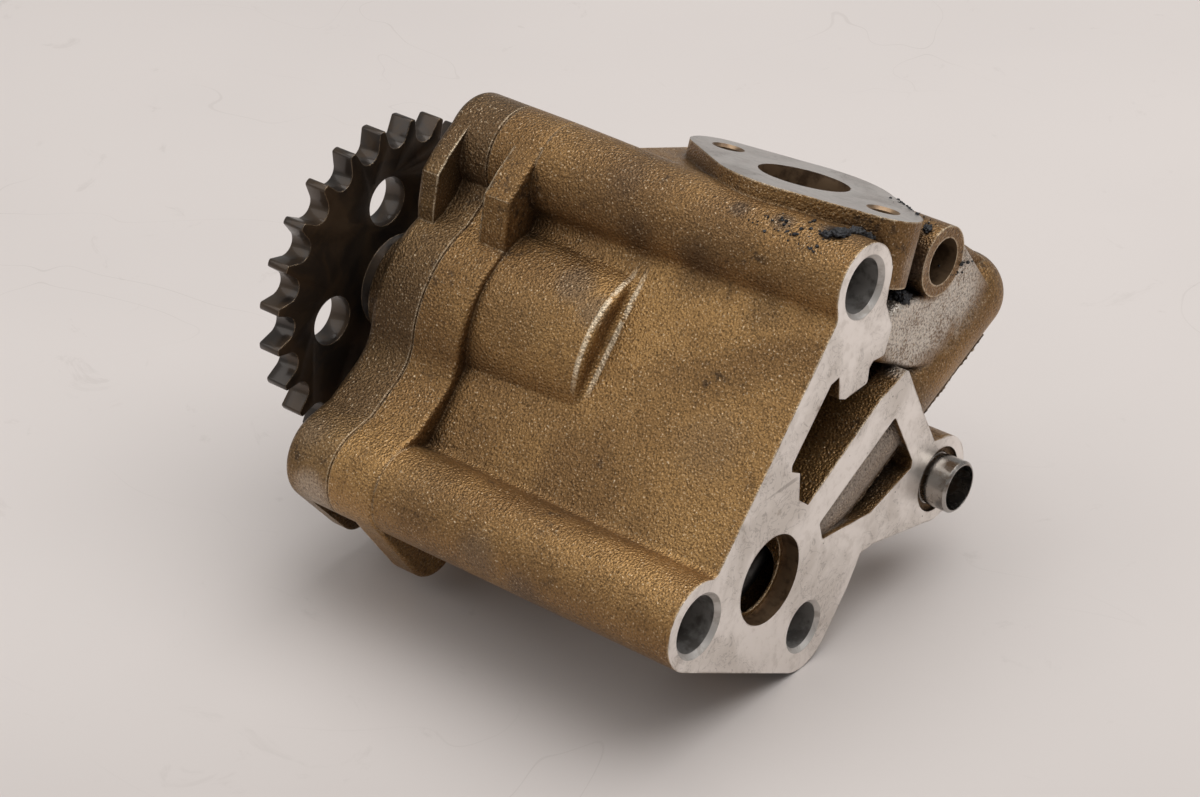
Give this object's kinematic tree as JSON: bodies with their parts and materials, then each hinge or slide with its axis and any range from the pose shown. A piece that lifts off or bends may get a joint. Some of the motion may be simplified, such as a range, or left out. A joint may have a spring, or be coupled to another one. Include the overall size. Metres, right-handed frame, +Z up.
{
  "type": "engine oil pump",
  "caption": "Chain driven external gear oil pump in a cast housing, with mounting face, pickup flange, relief valve barrel and drive sprocket.",
  "frame": {"origin": "centre of the lower bolt bore, on the mounting face", "axes": "+X out of the mounting face along the drive shaft, away from the sprocket; +Z up as the pump lies on a bench; +Y towards the dowelled lug"},
  "size_m": [0.1161, 0.1126, 0.0868],
  "materials": {
    "cast_body": "sand cast, stained golden brown by oil",
    "cast_cover": "sand cast, stained brown by oil",
    "oiled_steel": "hardened steel, dark with oil",
    "gear_steel": "ground teeth",
    "ground_steel": "ground",
    "dowel_steel": "turned, with brown oil stains",
    "screw_steel": "dark phosphate",
    "spring_steel": "oiled wire",
    "bronze_bush": "bearing bronze",
    "copper_washer": "soft copper"
  },
  "bodies": {
    "housing": {"pump_body": "cast_body", "front_cover": "cast_cover", "front_shaft_bush": "bronze_bush", "rear_shaft_bush": "bronze_bush", "idler_pin": "ground_steel", "cover_screws": "screw_steel", "cover_pins": "ground_steel", "ring_dowel": "dowel_steel", "spring_seat": "ground_steel", "relief_spring": "spring_steel", "relief_plug": "screw_steel", "plug_washer": "copper_washer"},
    "drive_train": {"drive_shaft": "ground_steel", "drive_gear": "gear_steel", "gear_key": "ground_steel", "drive_sprocket": "oiled_steel", "sprocket_washer": "screw_steel", "sprocket_bolt": "screw_steel"},
    "idler": {"idler_gear": "gear_steel", "idler_bush": "bronze_bush"},
    "plunger": {"relief_plunger": "ground_steel"}
  },
  "joints": [
    {"name": "shaft_spin", "type": "hinge", "parent": "housing", "child": "drive_train", "pos_m": [-0.06, 0.03101, 0.02089], "axis": [1, 0, 0], "continuous": true},
    {"name": "idler_spin", "type": "hinge", "parent": "housing", "child": "idler", "pos_m": [-0.065, 0.04376, 0.00818], "axis": [1, 0, 0], "continuous": true},
    {"name": "relief_slide", "type": "slide", "parent": "housing", "child": "plunger", "axis": [0, 0.9198, 0.3923], "range_m": [0, 0.008], "stiffness_N_per_m": 3500, "springref_m": -0.012, "deforming": ["relief_spring"]}
  ],
  "couplings": [
    {"joint": "idler_spin", "follows": "shaft_spin", "ratio": -1}
  ]
}
